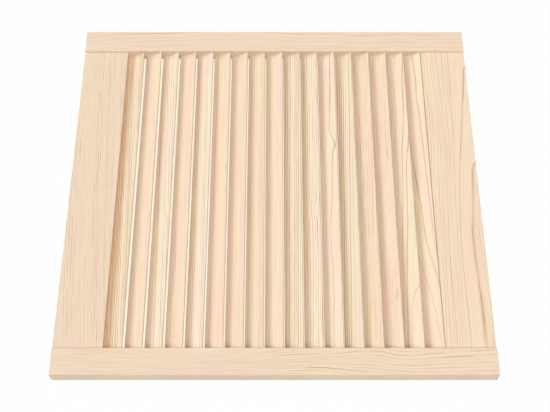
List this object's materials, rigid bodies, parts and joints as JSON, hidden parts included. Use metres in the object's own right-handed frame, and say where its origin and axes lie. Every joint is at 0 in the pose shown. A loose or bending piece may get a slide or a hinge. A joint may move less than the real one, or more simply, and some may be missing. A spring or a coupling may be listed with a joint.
{
  "type": "louvred cabinet door",
  "caption": "Louvred cabinet door: slanted fixed slats let into two upright stiles, with a rail at the top and at the bottom, in unfinished pine.",
  "frame": {"origin": "middle of the door's outline, on the plane that the door's back lies on", "axes": "+X runs down the hung door, from the top rail to the bottom rail; +Y runs across it, from the left stile to the right stile as seen from the front; +Z points out of the front face"},
  "size_m": [0.615, 0.594, 0.021],
  "materials": {
    "pine_stile": "planed and sanded, unfinished",
    "pine_rail": "planed and sanded, unfinished",
    "pine_slat": "planed and sanded, unfinished",
    "beech_dowel": "turned and fluted, unfinished"
  },
  "bodies": {
    "root": {"left_stile": "pine_stile", "right_stile": "pine_stile", "top_rail": "pine_rail", "bottom_rail": "pine_rail", "slat_01": "pine_slat", "slat_02": "pine_slat", "slat_03": "pine_slat", "slat_04": "pine_slat", "slat_05": "pine_slat", "slat_06": "pine_slat", "slat_07": "pine_slat", "slat_08": "pine_slat", "slat_09": "pine_slat", "slat_10": "pine_slat", "slat_11": "pine_slat", "slat_12": "pine_slat", "slat_13": "pine_slat", "slat_14": "pine_slat", "slat_15": "pine_slat", "slat_16": "pine_slat", "slat_17": "pine_slat", "dowel_top_left_1": "beech_dowel", "dowel_top_left_2": "beech_dowel", "dowel_top_right_1": "beech_dowel", "dowel_top_right_2": "beech_dowel", "dowel_bottom_left_1": "beech_dowel", "dowel_bottom_left_2": "beech_dowel", "dowel_bottom_right_1": "beech_dowel", "dowel_bottom_right_2": "beech_dowel"}
  },
  "joints": []
}
